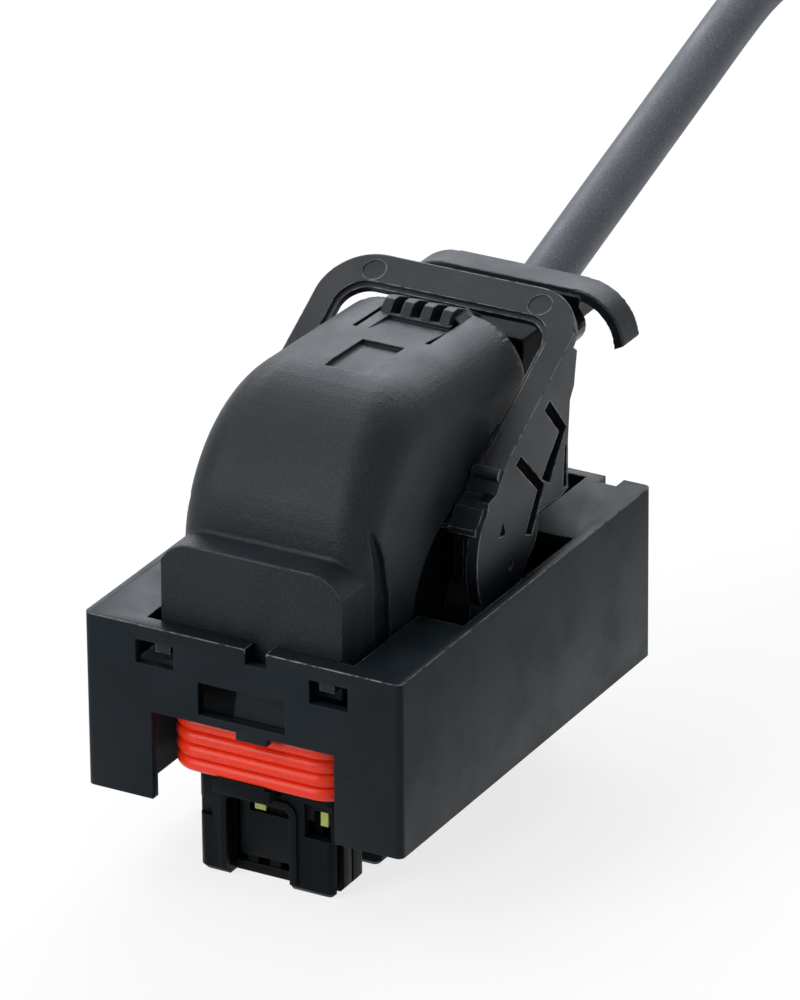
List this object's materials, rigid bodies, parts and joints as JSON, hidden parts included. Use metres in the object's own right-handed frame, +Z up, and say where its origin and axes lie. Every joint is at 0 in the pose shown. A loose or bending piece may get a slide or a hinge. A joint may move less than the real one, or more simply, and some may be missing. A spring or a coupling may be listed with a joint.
{
  "type": "sealed automotive connector",
  "caption": "Sealed cable connector with a domed wire cover, a U-shaped locking lever, red radial seals and an angled cable exit.",
  "frame": {"origin": "centre of the underside of the rear nose, on the plane both noses stand on", "axes": "+X across the width, +Y towards the cable end, +Z up, away from the mating side"},
  "size_m": [0.05, 0.2843, 0.0858],
  "materials": {
    "housing_black": "moulded black plastic, satin",
    "inner_black": "moulded black plastic",
    "cover_black": "black plastic with a fine spark-eroded grain",
    "lever_black": "moulded black plastic, satin",
    "retainer_black": "moulded black plastic",
    "seal_red": "orange-red silicone",
    "spacer_green": "pale green plastic",
    "mat_red": "red silicone",
    "contact_tin": "plated copper alloy",
    "plug_ivory": "ivory plastic",
    "wire_blue": "blue insulation",
    "wire_red": "red insulation",
    "tie_black": "black nylon, glossy",
    "sheath_grey": "dark grey sheath with a fine speckle"
  },
  "bodies": {
    "housing": {"outer_housing": "housing_black", "inner_housing": "inner_black", "wire_cover": "cover_black", "front_retainer": "retainer_black", "rear_retainer": "retainer_black", "front_seal": "seal_red", "rear_seal": "seal_red", "front_spacer": "spacer_green", "rear_spacer": "spacer_green", "front_wire_seal": "mat_red", "rear_wire_seal": "mat_red", "seal_cover": "inner_black", "signal_terminals": "contact_tin", "power_terminals": "contact_tin", "cavity_plugs": "plug_ivory", "signal_wires": "wire_blue", "power_wires": "wire_red", "cable_tie": "tie_black", "cable_sheath": "sheath_grey", "wire_tails": "wire_blue"},
    "lever": {"lever": "lever_black"}
  },
  "joints": [
    {"name": "lever_pivot", "type": "hinge", "parent": "housing", "child": "lever", "pos_m": [0, 0.001, 0.034], "axis": [1, 0, 0], "range_deg": [0, 60]}
  ]
}
